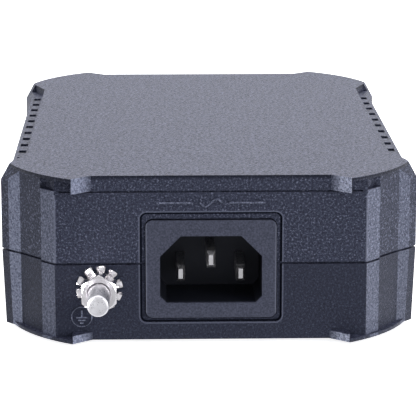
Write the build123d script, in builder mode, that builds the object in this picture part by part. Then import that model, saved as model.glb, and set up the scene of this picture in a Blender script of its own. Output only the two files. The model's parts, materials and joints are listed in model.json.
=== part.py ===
"""Desktop Power-over-Ethernet injector: moulded two-part case, mains inlet and earth terminal
on the front end, two network jacks on the rear end, switch-mode supply inside.

Millimetres, +Z up. The origin is on the surface that the feet stand on, under the middle of the
case. The mains inlet faces -Y and the network jacks face +Y.
"""
import os

from build123d import *

os.makedirs("parts", exist_ok=True)

# ---------------------------------------------------------------- case, driving dimensions
CASE_LENGTH = 140.0            # between the two flat end faces
CASE_HEIGHT = 39.0             # moulded shell, without the feet
FOOT_STANDOFF = 1.0            # feet proud of the shell's underside
WALL = 2.4
FLOOR = 2.5
CEILING = 2.4
FRONT = -CASE_LENGTH / 2       # plane of the inlet end face
REAR = CASE_LENGTH / 2         # plane of the jack end face
BASE = FOOT_STANDOFF           # underside of the shell
TOP = BASE + CASE_HEIGHT
SPLIT = BASE + 18.4            # parting plane between the two halves

# Quarter of the wall's plan: x, and distance behind the end face. The corner is built of
# narrow upright facets, and the flank behind the corner block is set in for the vents.
END_HALF_WIDTH = 36.0
BLOCK_HALF_WIDTH = 49.2
FLANK_HALF_WIDTH = 47.6
BAY_START = 25.2
WALL_PLAN = [
    (0, 0), (END_HALF_WIDTH, 0), (39.4, 3.5), (39.4, 5.2), (44.6, 11.2), (47.3, 13.6),
    (BLOCK_HALF_WIDTH, 15.6), (FLANK_HALF_WIDTH, BAY_START), (FLANK_HALF_WIDTH, CASE_LENGTH / 2),
]
# The same corners at the underside: below the parting plane the flanks have this much draft.
DRAFT = 0.7
FOOTPRINT_PLAN = WALL_PLAN[:4] + [(x - DRAFT, y) for x, y in WALL_PLAN[4:]]

# Deck: the thin lipped plates that close the case above and below. Their corners swell out in
# four ears, each with a ramp, a point ahead of the end face and a long arc back to the flank.
DECK_RAMP_X = 27.5
DECK_EAR = (32.1, -3.7)
DECK_CORNER = (47.0, 15.0)
DECK_HEEL = (46.3, 17.9)       # from here the edge runs in to the vent bay
DECK_ARC_RADIUS = 35.6
DECK_HALF_WIDTH = 43.5
DECK_LIP = 0.8
BAND_HEIGHT = 3.6              # full-depth band across each end, from ear to ear
BASE_BAND = 1.9
GROOVE_HEIGHT = 0.4            # groove that parts the band from the end wall
GROOVE_DEPTH = 0.7
SHOULDER = TOP - 9.0           # the bevelled corner blocks start here
LEDGE = TOP - 2.0              # flat ledge of the vent bay, below the deck
LEDGE_HALF_WIDTH = 47.0
LEDGE_BEVEL = 2.4
NOTCH_DROP = 3.6               # notch over the narrow front facet

CAVITY_SHOULDER = TOP - 5.5
CAVITY_INSET = 3.0
REVEAL_DEPTH = 0.8
REVEAL_HEIGHT = 0.5
TONGUE_HEIGHT = 1.5
TONGUE_OUTER = 1.3
TONGUE_GAP = 0.15

VENT_COUNT = 11
VENT_PITCH = 8.0
VENT_WIDTH = 3.0
VENT_INNER = 44.4             # the holes through the ledge
VENT_OUTER = 46.2
VENT_SILL = 4.0                # vents stop this far from the parting plane

# ---------------------------------------------------------------- fixings
SCREW_X = 39.0
SCREW_Y = CASE_LENGTH / 2 - 18.5
BOSS_RADIUS = 4.0
SCREW_RADIUS = 1.5
SCREW_HEAD_RADIUS = 2.9
SCREW_HEAD_HEIGHT = 2.2
SCREW_SEAT = BASE + 6.0
SCREW_LENGTH = 20.0
FOOT_RADIUS = 5.5
FOOT_THICKNESS = 1.6
FOOT_X = 36.0
FOOT_Y = CASE_LENGTH / 2 - 33.0

SHEET_THICKNESS = 0.4

# ---------------------------------------------------------------- main board
BOARD_THICKNESS = 1.6
BOARD_BOTTOM = BASE + 6.0
BOARD = BOARD_BOTTOM + BOARD_THICKNESS     # component side
BOARD_FRONT = -46.0
BOARD_REAR = 66.8
BOARD_HALF_WIDTH = 41.0
BOARD_TONGUE_HALF_WIDTH = 34.0             # narrower between the rear bosses
BOARD_NOTCH = 46.0
POST_RADIUS = 3.0
POST_POINTS = [(-37.0, -42.5), (37.0, -42.5), (-37.0, 42.0), (37.0, 42.0)]
POST_SCREW_RADIUS = 1.3

# ---------------------------------------------------------------- mains inlet
INLET_Z = BASE + 16.8          # middle of the plug cavity
BEZEL = (30.2, 23.2)
BEZEL_Z = BASE + 16.8
RECESS = (32.9, 26.2)
RECESS_Z = BASE + 17.2
RECESS_DEPTH = 0.5
RECESS_CORNER = 1.6
BEZEL_CORNER = 1.6
BEZEL_GAP = 0.15
INLET_FACE = FRONT - 0.1
INLET_BODY = (27.0, 19.4)
INLET_BACK = FRONT + 21.0
INLET_CAVITY_DEPTH = 16.7
INLET_FLANGE = (34.0, 26.4)
FLANGE_THICKNESS = 2.0
CAVITY_HALF_WIDTH = 11.8
CAVITY_BOTTOM = BASE + 8.75
CAVITY_TOP = BASE + 24.65
CAVITY_SHOULDER_CUT = 4.8
CAVITY_FOOT_CUT = 1.5
PIN_SPACING = 14.0
PIN_THICKNESS = 2.0
PIN_WIDTH = 4.0
PIN_TIP = (1.0, 2.3)
PIN_TAPER = 1.2
LIVE_PIN_Z = BASE + 14.8
EARTH_PIN_Z = BASE + 18.8
LIVE_PIN_SET_BACK = 3.45
EARTH_PIN_SET_BACK = 0.6

PIN_TAIL = 1.2                 # width of the tail that turns down to the board
PIN_TAIL_END = FRONT + 27.0

# ---------------------------------------------------------------- earth terminal
STUD_X = -25.8
STUD_Z = BASE + 12.5
STUD_RADIUS = 2.5
STUD_SHANK_RADIUS = 2.24       # pitch radius of the thread, where the washer and nut sit
STUD_REACH = 16.4              # tip ahead of the end face
STUD_NECK = 0.5                # the full thread starts this far ahead of the nut
STUD_TIP_CHAMFER = 0.75
STUD_HEAD_AF = 8.0
STUD_HEAD_HEIGHT = 3.4
LUG_THICKNESS = 0.8
LUG_RADIUS = 4.6
LUG_BARREL = 6.5
EARTH_WIRE_RADIUS = 0.95
EARTH_WIRE_Z = STUD_Z + 7.0
EARTH_WIRE_BEND = -36.0        # how far back the wire swings behind the inlet
WASHER_TEETH = 10
WASHER_ROOT_RADIUS = 4.0
WASHER_RADIUS = 5.4
WASHER_TOOTH = 1.5
WASHER_PHASE = 14.0
WASHER_BORE = 2.62
WASHER_STACK = 1.6             # the twisted teeth stand this deep
NUT_AF = 8.0
NUT_THICKNESS = 4.7
NUT_CORNER_CUT = 0.58
NUT_BORE = 2.56

# ---------------------------------------------------------------- network jacks
JACK_X = 12.0
JACK_SIZE = (16.2, 16.5, 13.6)
JACK_FACE = REAR - 0.4
JACK_GAP = 0.2
JACK_Z = BOARD + JACK_SIZE[2] / 2
JACK_SHEET = 0.35
PLUG_WIDTH = 11.9
PLUG_HEIGHT = 6.9
PLUG_DEPTH = 13.0
LATCH_WIDTH = 6.2
LATCH_HEIGHT = 2.2
PLUG_SILL = 3.4                # plug cavity floor above the board
CONTACT_COUNT = 8
CONTACT_PITCH = 1.02
LIGHT_X = (26.0, 31.0)
LIGHT_RADIUS = 1.5
LIGHT_Z = BOARD + 6.0
LIGHT_FRONT = 58.0             # rear face of each status light's body
COMB_HEIGHT = 1.6
CONTACT_THICKNESS = 0.4
CONTACT_DIP = 2.6              # the springs reach this far down from the top of the plug cavity

# ---------------------------------------------------------------- places on the board
FUSE_X = 34.0
FUSE_Y = -31.0
FUSE_LENGTH = 20.0
VARISTOR_XY = (24.0, -40.0)
THERMISTOR_XY = (24.0, -31.0)
X_CAPACITOR_XY = (8.0, -27.0)
CHOKE_XY = (-20.0, -24.0)
CHOKE_RADIUS = 8.5
CHOKE_BORE = 4.5
CHOKE_WIDTH = 8.0
CHOKE_Z = BOARD + 10.0
BRIDGE_XY = (31.0, -8.0)
BULK_XY = (13.0, -8.0)
Y_CAPACITOR_XY = (10.0, 10.0)
TRANSFORMER_XY = (-12.0, 6.0)
CORE_LENGTH = 27.0
CORE_HEIGHT = 23.0
CORE_YOKE = 3.5
BOBBIN_RADIUS = 9.6
ISOLATION_X = 9.0
ISOLATION_Y = 4.0
SINK_X = 36.5
SINK_THICKNESS = 2.6
SINK_FIN = 3.0
PRIMARY_SINK_Y = -8.0
SECONDARY_SINK_Y = 20.0
OUTPUT_CAP_POINTS = [(22.0, 16.0), (22.0, 30.0)]
INDUCTOR_XY = (-28.0, 30.0)
CONTROLLER_XY = (0.0, 28.0)
OPTOCOUPLER_XY = (9.0, 19.0)
MAGNETICS_Y = 42.0
LEAD_HOLES = [(x + side * 2.5, y) for x, y in (VARISTOR_XY, THERMISTOR_XY, Y_CAPACITOR_XY)
              for side in (-1, 1)]
LEAD_HOLES += [(side * (SINK_X - SINK_THICKNESS / 2 - 2.65), y + 2.54 * lead)
               for side, y in ((-1, PRIMARY_SINK_Y), (1, SECONDARY_SINK_Y)) for lead in (-1, 0, 1)]
LEAD_HOLES += [(TRANSFORMER_XY[0] + side * 8.5, TRANSFORMER_XY[1] + 3.6 * row)
               for side in (-1, 1) for row in range(-2, 3)]


# ================================================================ outlines
def from_front(points):
    """Points given behind the front end face, in the part's own frame."""
    return [(x, FRONT + y) for x, y in points]


def mirrored_outline(points, inset=0.0):
    """Closed face from a quarter of its edge, drawn in by the inset."""
    with BuildSketch() as face:
        with BuildLine():
            Polyline(*from_front(points))
            mirror(about=Plane.YZ)
            mirror(about=Plane.XZ)
        make_face()
        if inset:
            offset(amount=-inset, kind=Kind.INTERSECTION)
    return face.sketch


def deck_outline():
    """Face of a deck plate, with its four ears."""
    ear, corner = from_front([DECK_EAR, DECK_CORNER])
    with BuildSketch() as face:
        with BuildLine():
            Polyline(*from_front([(0, 0), (DECK_RAMP_X, 0), DECK_EAR]))
            RadiusArc(ear, corner, -DECK_ARC_RADIUS)
            Polyline(*from_front([DECK_CORNER, DECK_HEEL, (DECK_HALF_WIDTH, BAY_START),
                                  (DECK_HALF_WIDTH, CASE_LENGTH / 2)]))
            mirror(about=Plane.YZ)
            mirror(about=Plane.XZ)
        make_face()
    return face.sketch


def corner_block():
    """Bevelled block that fills the front right corner between the wall and the deck."""
    inner, strip = WALL_PLAN[4], WALL_PLAN[5]
    foot = [(inner[0] - 0.7, inner[1]), inner, strip, (BLOCK_HALF_WIDTH, WALL_PLAN[6][1]),
            (FLANK_HALF_WIDTH, BAY_START), (inner[0] - 0.7, BAY_START)]
    behind_heel = [DECK_HEEL, (DECK_HALF_WIDTH, BAY_START), (DECK_HALF_WIDTH, BAY_START + 1),
                   (BLOCK_HALF_WIDTH + 1, BAY_START + 1), (BLOCK_HALF_WIDTH + 1, DECK_HEEL[1])]
    facing_out = Plane(origin=(inner[0], FRONT + inner[1], TOP - 1.2), z_dir=(11.4, -8.5, 4.7))
    flank = Plane(origin=(DECK_CORNER[0], FRONT + DECK_CORNER[1], TOP), z_dir=(25.5, 5.3, 15.0))
    with BuildPart() as block:
        with BuildSketch(Plane.XY.offset(SHOULDER)):
            with BuildLine():
                Polyline(*from_front(foot), close=True)
            make_face()
        extrude(amount=TOP - SHOULDER)
        split(bisect_by=facing_out, keep=Keep.BOTTOM)
        split(bisect_by=flank, keep=Keep.BOTTOM)
        # Behind the deck's heel the block is down at the level of the ledge.
        with BuildSketch(Plane.XY.offset(LEDGE)):
            with BuildLine():
                Polyline(*from_front(behind_heel), close=True)
            make_face()
        extrude(amount=TOP - LEDGE, mode=Mode.SUBTRACT)
    return block.part


def add_at_four_corners(quarter, mode=Mode.ADD):
    """Put a quarter's solid in, with its three mirror images."""
    other_side = quarter.mirror(Plane.YZ)
    for solid in (quarter, other_side, quarter.mirror(Plane.XZ), other_side.mirror(Plane.XZ)):
        add(solid, mode=mode)


SCREW_POINTS = [(x, y) for x in (-SCREW_X, SCREW_X) for y in (-SCREW_Y, SCREW_Y)]
FOOT_POINTS = [(x, y) for x in (-FOOT_X, FOOT_X) for y in (-FOOT_Y, FOOT_Y)]


# ================================================================ case
# Openings for the inlet, the jacks and the two lights, cut through both halves alike.
with BuildPart() as end_openings:
    with BuildSketch(Plane.XZ.offset(-FRONT + 1)):
        with Locations((0, RECESS_Z)):
            RectangleRounded(*RECESS, RECESS_CORNER)
    extrude(amount=-RECESS_DEPTH - 1)
    with BuildSketch(Plane.XZ.offset(-FRONT + 1)):
        with Locations((0, BEZEL_Z)):
            RectangleRounded(BEZEL[0] + 2 * BEZEL_GAP, BEZEL[1] + 4 * BEZEL_GAP,
                             BEZEL_CORNER + BEZEL_GAP)
    extrude(amount=-2 * WALL)
    with BuildSketch(Plane.XZ.offset(-REAR - 1)):
        with Locations((-JACK_X, JACK_Z), (JACK_X, JACK_Z)):
            Rectangle(JACK_SIZE[0] + 2 * JACK_GAP, JACK_SIZE[2] + 2 * JACK_GAP)
        with Locations(*[(x, LIGHT_Z) for x in LIGHT_X]):
            Circle(LIGHT_RADIUS + 0.1)
    extrude(amount=2 * WALL)

with BuildPart() as top_cover:
    with BuildSketch(Plane.XY.offset(SPLIT)):
        add(mirrored_outline(WALL_PLAN))
    extrude(amount=SHOULDER - SPLIT)
    # Upper wall inside the corner blocks, up to the deck.
    with BuildSketch(Plane.XY.offset(SHOULDER)):
        add(mirrored_outline(WALL_PLAN[:5] + [(44.6, 22.3), (DECK_HALF_WIDTH, BAY_START),
                                              (DECK_HALF_WIDTH, CASE_LENGTH / 2)]))
    extrude(amount=TOP - SHOULDER)
    # Ledges beside the deck, with the vents.
    with BuildSketch(Plane.XZ):
        with BuildLine():
            Polyline((DECK_HALF_WIDTH - WALL, SHOULDER), (FLANK_HALF_WIDTH, SHOULDER),
                     (FLANK_HALF_WIDTH, LEDGE - LEDGE_BEVEL), (LEDGE_HALF_WIDTH, LEDGE),
                     (DECK_HALF_WIDTH - WALL, LEDGE), close=True)
        make_face()
        mirror(about=Plane.YZ)
    extrude(amount=CASE_LENGTH / 2 - BAY_START, both=True)
    add_at_four_corners(corner_block())
    # Deck lip and the full-depth bands across the ends.
    with BuildSketch(Plane.XY.offset(TOP - DECK_LIP)):
        add(deck_outline())
    extrude(amount=DECK_LIP)
    with BuildSketch(Plane.XY.offset(TOP - BAND_HEIGHT)):
        add(deck_outline())
        Rectangle(2 * DECK_EAR[0], 2 * CASE_LENGTH, mode=Mode.INTERSECT)
    extrude(amount=BAND_HEIGHT)
    # Groove under the band, from one narrow facet to the other.
    with BuildSketch(Plane.XY.offset(TOP - BAND_HEIGHT - GROOVE_HEIGHT)):
        for end in (FRONT, REAR):
            with Locations((0, end)):
                Rectangle(2 * END_HALF_WIDTH - 2, 2 * GROOVE_DEPTH)
    extrude(amount=GROOVE_HEIGHT, mode=Mode.SUBTRACT)
    # Deep notch under the lip over the narrow front facet.
    with BuildPart(mode=Mode.PRIVATE) as notch:
        with BuildSketch(Plane.XY.offset(TOP - NOTCH_DROP)):
            with BuildLine():
                Polyline(*from_front([(END_HALF_WIDTH, -6), (END_HALF_WIDTH, 1.9), (38.0, 5.0),
                                      (39.4, 5.2), (40.4, 3.0), (40.4, -6)]), close=True)
            make_face()
        extrude(amount=NOTCH_DROP - DECK_LIP)
    add_at_four_corners(notch.part, mode=Mode.SUBTRACT)
    # Hollow, in two steps because the shoulders slope in.
    with BuildSketch(Plane.XY.offset(SPLIT)):
        add(mirrored_outline(WALL_PLAN, WALL))
    extrude(amount=CAVITY_SHOULDER - SPLIT, mode=Mode.SUBTRACT)
    with BuildSketch(Plane.XY.offset(SPLIT)):
        add(mirrored_outline(WALL_PLAN, WALL + CAVITY_INSET))
    extrude(amount=TOP - CEILING - SPLIT, mode=Mode.SUBTRACT)
    # Rebate for the lower half's tongue.
    with BuildSketch(Plane.XY.offset(SPLIT)):
        add(mirrored_outline(WALL_PLAN, TONGUE_OUTER - TONGUE_GAP))
    extrude(amount=TONGUE_HEIGHT + TONGUE_GAP, mode=Mode.SUBTRACT)
    # Vents: open slots down the flank, joined to holes through the ledge.
    for side in (-1, 1):
        near = Align.MIN if side > 0 else Align.MAX
        with BuildSketch(Plane.XY.offset(SPLIT + VENT_SILL)):
            with Locations((side * (FLANK_HALF_WIDTH - WALL - 1), 0)):
                with GridLocations(0, VENT_PITCH, 1, VENT_COUNT):
                    Rectangle(2 * WALL, VENT_WIDTH, align=(near, Align.CENTER))
        extrude(amount=CAVITY_SHOULDER - SPLIT - VENT_SILL, mode=Mode.SUBTRACT)
        with BuildSketch(Plane.XY.offset(CAVITY_SHOULDER - 1)):
            with Locations((side * VENT_INNER, 0)):
                with GridLocations(0, VENT_PITCH, 1, VENT_COUNT):
                    Rectangle(VENT_OUTER - VENT_INNER, VENT_WIDTH, align=(near, Align.CENTER))
        extrude(amount=LEDGE - CAVITY_SHOULDER + 1, mode=Mode.SUBTRACT)
    # Screw bosses.
    with BuildSketch(Plane.XY.offset(SPLIT)):
        with Locations(*SCREW_POINTS):
            Circle(BOSS_RADIUS)
            Circle(SCREW_RADIUS + 0.02, mode=Mode.SUBTRACT)
    extrude(amount=TOP - CEILING - SPLIT)
    add(end_openings.part, mode=Mode.SUBTRACT)
top_cover.part.label = "top_cover"
export_step(top_cover.part, "parts/top_cover.step")

with BuildPart() as bottom_case:
    # Drafted walls, then the base plate with its ears.
    with BuildSketch(Plane.XY.offset(BASE)):
        add(mirrored_outline(FOOTPRINT_PLAN))
    with BuildSketch(Plane.XY.offset(SPLIT)):
        add(mirrored_outline(WALL_PLAN))
    loft(ruled=True)
    with BuildSketch(Plane.XY.offset(BASE)):
        add(deck_outline())
    extrude(amount=DECK_LIP)
    with BuildSketch(Plane.XY.offset(BASE)):
        add(deck_outline())
        Rectangle(2 * DECK_EAR[0], 2 * CASE_LENGTH, mode=Mode.INTERSECT)
    extrude(amount=BASE_BAND)
    with BuildSketch(Plane.XY.offset(BASE + FLOOR)):
        add(mirrored_outline(WALL_PLAN, WALL))
    extrude(amount=SPLIT - BASE - FLOOR, mode=Mode.SUBTRACT)
    # Reveal around the outside of the joint, and the tongue inside it.
    with BuildSketch(Plane.XY.offset(SPLIT - REVEAL_HEIGHT)):
        add(mirrored_outline(WALL_PLAN, -WALL))
        add(mirrored_outline(WALL_PLAN, REVEAL_DEPTH), mode=Mode.SUBTRACT)
    extrude(amount=REVEAL_HEIGHT, mode=Mode.SUBTRACT)
    with BuildSketch(Plane.XY.offset(SPLIT - REVEAL_HEIGHT)):
        add(mirrored_outline(WALL_PLAN, TONGUE_OUTER))
        add(mirrored_outline(WALL_PLAN, WALL), mode=Mode.SUBTRACT)
    extrude(amount=REVEAL_HEIGHT + TONGUE_HEIGHT)
    # Screw bosses, counterbored from below, and the posts under the board.
    with BuildSketch(Plane.XY.offset(BASE + FLOOR)):
        with Locations(*SCREW_POINTS):
            Circle(BOSS_RADIUS)
    extrude(amount=SPLIT - BASE - FLOOR)
    with BuildSketch(Plane.XY.offset(BASE + FLOOR)):
        with Locations(*POST_POINTS):
            Circle(POST_RADIUS)
    extrude(amount=BOARD_BOTTOM - BASE - FLOOR)
    with BuildSketch(Plane.XY.offset(BASE)):
        with Locations(*SCREW_POINTS):
            Circle(SCREW_HEAD_RADIUS + 0.3)
    extrude(amount=SCREW_SEAT - BASE, mode=Mode.SUBTRACT)
    with BuildSketch(Plane.XY.offset(SCREW_SEAT)):
        with Locations(*SCREW_POINTS):
            Circle(SCREW_RADIUS + 0.2)
    extrude(amount=SPLIT - SCREW_SEAT, mode=Mode.SUBTRACT)
    with BuildSketch(Plane.XY.offset(BASE + FLOOR)):
        with Locations(*POST_POINTS):
            Circle(POST_SCREW_RADIUS + 0.02)
    extrude(amount=BOARD_BOTTOM - BASE - FLOOR, mode=Mode.SUBTRACT)
    # Shallow seats for the feet, and the hole for the earth bolt.
    with BuildSketch(Plane.XY.offset(BASE)):
        with Locations(*FOOT_POINTS):
            Circle(FOOT_RADIUS + 0.2)
    extrude(amount=FOOT_THICKNESS - FOOT_STANDOFF, mode=Mode.SUBTRACT)
    with BuildSketch(Plane.XZ.offset(-FRONT)):
        with Locations((STUD_X, STUD_Z)):
            Circle(STUD_RADIUS + 0.1)
    extrude(amount=-2 * WALL, mode=Mode.SUBTRACT)
    add(end_openings.part, mode=Mode.SUBTRACT)
bottom_case.part.label = "bottom_case"
export_step(bottom_case.part, "parts/bottom_case.step")

with BuildPart() as case_screws:
    with BuildSketch(Plane.XY.offset(SCREW_SEAT - SCREW_HEAD_HEIGHT)):
        with Locations(*SCREW_POINTS):
            Circle(SCREW_HEAD_RADIUS)
    extrude(amount=SCREW_HEAD_HEIGHT)
    with BuildSketch(Plane.XY.offset(SCREW_SEAT)):
        with Locations(*SCREW_POINTS):
            Circle(SCREW_RADIUS)
    extrude(amount=SCREW_LENGTH)
    with BuildSketch(Plane.XY.offset(SCREW_SEAT - SCREW_HEAD_HEIGHT)):
        with Locations(*SCREW_POINTS):
            Rectangle(3.6, 0.8)
            Rectangle(0.8, 3.6)
    extrude(amount=1.2, mode=Mode.SUBTRACT)
    fillet(case_screws.faces().sort_by(Axis.Z)[:4].edges().filter_by(
        lambda e: e.geom_type == GeomType.CIRCLE and e.radius > 2.5), radius=0.5)
case_screws.part.label = "case_screws"
export_step(case_screws.part, "parts/case_screws.step")

with BuildPart() as rubber_feet:
    with BuildSketch(Plane.XY):
        with Locations(*FOOT_POINTS):
            Circle(FOOT_RADIUS)
    extrude(amount=FOOT_THICKNESS)
    chamfer(rubber_feet.faces().group_by(Axis.Z)[0].edges(), length=0.4)
rubber_feet.part.label = "rubber_feet"
export_step(rubber_feet.part, "parts/rubber_feet.step")

with BuildPart() as insulating_sheet:
    with BuildSketch(Plane.XY.offset(BASE + FLOOR)):
        with Locations((0, (BOARD_FRONT + BOARD_NOTCH) / 2)):
            Rectangle(2 * BOARD_HALF_WIDTH, BOARD_NOTCH - BOARD_FRONT)
        with Locations(*POST_POINTS):
            Circle(POST_RADIUS + 0.3, mode=Mode.SUBTRACT)
    extrude(amount=SHEET_THICKNESS)
insulating_sheet.part.label = "insulating_sheet"
export_step(insulating_sheet.part, "parts/insulating_sheet.step")


# ================================================================ mains inlet
with BuildPart() as inlet_housing:
    # Bezel block through the wall, retaining flange behind the wall, body behind that.
    with BuildSketch(Plane.XZ.offset(-INLET_FACE)):
        with Locations((0, BEZEL_Z)):
            RectangleRounded(*BEZEL, radius=BEZEL_CORNER)
    extrude(amount=-(FRONT + WALL - INLET_FACE))
    with BuildSketch(Plane.XZ.offset(-FRONT - WALL)):
        with Locations((0, BEZEL_Z)):
            Rectangle(*INLET_FLANGE)
    extrude(amount=-FLANGE_THICKNESS)
    with BuildSketch(Plane.XZ.offset(-FRONT - WALL)):
        with Locations((0, INLET_Z)):
            Rectangle(*INLET_BODY)
    extrude(amount=-(INLET_BACK - FRONT - WALL))
    # Plug cavity: its upper corners are cut off, its lower ones only eased.
    with BuildSketch(Plane.XZ.offset(-INLET_FACE)):
        with BuildLine():
            Polyline((0, CAVITY_BOTTOM), (CAVITY_HALF_WIDTH - CAVITY_FOOT_CUT, CAVITY_BOTTOM),
                     (CAVITY_HALF_WIDTH, CAVITY_BOTTOM + CAVITY_FOOT_CUT),
                     (CAVITY_HALF_WIDTH, CAVITY_TOP - CAVITY_SHOULDER_CUT),
                     (CAVITY_HALF_WIDTH - CAVITY_SHOULDER_CUT, CAVITY_TOP), (0, CAVITY_TOP))
            mirror(about=Plane.YZ)
        make_face()
    extrude(amount=-INLET_CAVITY_DEPTH, mode=Mode.SUBTRACT)
    with BuildSketch(Plane.XZ.offset(-INLET_BACK)):
        with Locations((-PIN_SPACING / 2, LIVE_PIN_Z), (PIN_SPACING / 2, LIVE_PIN_Z),
                       (0, EARTH_PIN_Z)):
            Rectangle(PIN_THICKNESS, PIN_WIDTH)
    extrude(amount=INLET_BACK - INLET_FACE - INLET_CAVITY_DEPTH, mode=Mode.SUBTRACT)
inlet_housing.part.label = "inlet_housing"
export_step(inlet_housing.part, "parts/inlet_housing.step")


def inlet_blade(x, height, set_back, tail_drop):
    """Flat contact blade with a tapered tip, its tail turned down to the board if it drops."""
    tip = INLET_FACE + set_back
    with BuildPart() as blade:
        with BuildSketch(Plane.YZ.offset(x)):
            with BuildLine():
                Polyline((tip + PIN_TAPER, height - PIN_WIDTH / 2),
                         (tip + PIN_TAPER, height + PIN_WIDTH / 2),
                         (PIN_TAIL_END, height + PIN_WIDTH / 2), (PIN_TAIL_END, tail_drop),
                         (PIN_TAIL_END - PIN_TAIL, tail_drop),
                         (PIN_TAIL_END - PIN_TAIL, height - PIN_WIDTH / 2), close=True)
            make_face()
        extrude(amount=PIN_THICKNESS / 2, both=True)
        for y, size in ((tip, PIN_TIP), (tip + PIN_TAPER, (PIN_THICKNESS, PIN_WIDTH))):
            with BuildSketch(Plane.XZ.offset(-y)):
                with Locations((x, height)):
                    Rectangle(*size)
        loft(ruled=True)
    return blade


inlet_line_pin = inlet_blade(-PIN_SPACING / 2, LIVE_PIN_Z, LIVE_PIN_SET_BACK, BOARD_BOTTOM - 1.2)
inlet_line_pin.part.label = "inlet_line_pin"
export_step(inlet_line_pin.part, "parts/inlet_line_pin.step")

inlet_neutral_pin = inlet_blade(PIN_SPACING / 2, LIVE_PIN_Z, LIVE_PIN_SET_BACK, BOARD_BOTTOM - 1.2)
inlet_neutral_pin.part.label = "inlet_neutral_pin"
export_step(inlet_neutral_pin.part, "parts/inlet_neutral_pin.step")

inlet_earth_pin = inlet_blade(0, EARTH_PIN_Z, EARTH_PIN_SET_BACK, EARTH_PIN_Z - PIN_WIDTH / 2 + 0.01)
inlet_earth_pin.part.label = "inlet_earth_pin"
export_step(inlet_earth_pin.part, "parts/inlet_earth_pin.step")


# ================================================================ earth terminal
LUG_BACK = FRONT + WALL + LUG_THICKNESS
NUT_BACK = FRONT - WASHER_STACK
NUT_FACE = NUT_BACK - NUT_THICKNESS
STUD_TIP = FRONT - STUD_REACH


def stud_plane(y):
    """Plane across the earth bolt at a given y, facing outwards."""
    return Plane(origin=(STUD_X, y, STUD_Z), x_dir=(1, 0, 0), z_dir=(0, -1, 0))


with BuildPart() as ground_stud:
    # The head is clamped inside, the shank passes the wall, washer and nut, the free end is full.
    with BuildSketch(stud_plane(LUG_BACK)):
        RegularPolygon(radius=STUD_HEAD_AF / 2, side_count=6, major_radius=False)
    extrude(amount=-STUD_HEAD_HEIGHT)
    with BuildSketch(stud_plane(LUG_BACK)):
        Circle(STUD_SHANK_RADIUS)
    extrude(amount=LUG_BACK - NUT_FACE + STUD_NECK)
    with BuildSketch(stud_plane(NUT_FACE - STUD_NECK)):
        Circle(STUD_RADIUS)
    extrude(amount=NUT_FACE - STUD_NECK - STUD_TIP)
    chamfer(ground_stud.faces().sort_by(Axis.Y)[0].edges(), length=STUD_TIP_CHAMFER)
ground_stud.part.label = "ground_stud"
export_step(ground_stud.part, "parts/ground_stud.step")

with BuildPart() as earth_ring_lug:
    with BuildSketch(stud_plane(LUG_BACK)):
        Circle(LUG_RADIUS)
        with Locations((0, LUG_RADIUS)):
            Rectangle(5, 2 * LUG_RADIUS)
        Circle(STUD_RADIUS + 0.1, mode=Mode.SUBTRACT)
    extrude(amount=LUG_THICKNESS)
    # Crimp barrel, turned back over the head of the bolt.
    with BuildSketch(Plane.XZ.offset(-LUG_BACK)):
        with Locations((STUD_X, EARTH_WIRE_Z)):
            Circle(EARTH_WIRE_RADIUS + 0.6)
    extrude(amount=-LUG_BARREL)
    with BuildSketch(Plane.XZ.offset(-LUG_BACK - 1)):
        with Locations((STUD_X, EARTH_WIRE_Z)):
            Circle(EARTH_WIRE_RADIUS)
    extrude(amount=-LUG_BARREL, mode=Mode.SUBTRACT)
earth_ring_lug.part.label = "earth_ring_lug"
export_step(earth_ring_lug.part, "parts/earth_ring_lug.step")

with BuildPart() as earth_wire:
    with BuildLine() as earth_route:
        FilletPolyline((0, PIN_TAIL_END, EARTH_PIN_Z), (0, EARTH_WIRE_BEND, EARTH_PIN_Z),
                       (STUD_X, EARTH_WIRE_BEND, EARTH_WIRE_Z),
                       (STUD_X, LUG_BACK + 1, EARTH_WIRE_Z), radius=4.5)
    with BuildSketch(Plane(origin=earth_route.line @ 0, z_dir=earth_route.line % 0)):
        Circle(EARTH_WIRE_RADIUS)
    sweep(transition=Transition.RIGHT)
earth_wire.part.label = "earth_wire"
export_step(earth_wire.part, "parts/earth_wire.step")

with BuildPart() as tooth_lock_washer:
    with BuildSketch(stud_plane(FRONT)):
        Circle(WASHER_ROOT_RADIUS)
        with PolarLocations((WASHER_BORE + WASHER_RADIUS) / 2, WASHER_TEETH, WASHER_PHASE):
            Rectangle(WASHER_RADIUS - WASHER_BORE, WASHER_TOOTH)
        Circle(WASHER_BORE, mode=Mode.SUBTRACT)
    extrude(amount=WASHER_STACK)
tooth_lock_washer.part.label = "tooth_lock_washer"
export_step(tooth_lock_washer.part, "parts/tooth_lock_washer.step")

with BuildPart() as ground_nut:
    with BuildSketch(stud_plane(NUT_BACK)):
        RegularPolygon(radius=NUT_AF / 2, side_count=6, major_radius=False, rotation=30)
    extrude(amount=NUT_THICKNESS)
    # Both faces are turned off round at the corners.
    with BuildSketch(Plane(origin=(STUD_X, NUT_BACK, STUD_Z), x_dir=(1, 0, 0), z_dir=(0, 0, 1))):
        with BuildLine():
            Polyline((0, 0), (NUT_AF / 2, 0), (NUT_AF / 2 + 1, -NUT_CORNER_CUT),
                     (NUT_AF / 2 + 1, NUT_CORNER_CUT - NUT_THICKNESS),
                     (NUT_AF / 2, -NUT_THICKNESS), (0, -NUT_THICKNESS), close=True)
        make_face()
    revolve(axis=Axis((STUD_X, 0, STUD_Z), (0, 1, 0)), mode=Mode.INTERSECT)
    with BuildSketch(stud_plane(NUT_BACK)):
        Circle(NUT_BORE)
    extrude(amount=NUT_THICKNESS, mode=Mode.SUBTRACT)
ground_nut.part.label = "ground_nut"
export_step(ground_nut.part, "parts/ground_nut.step")


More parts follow.
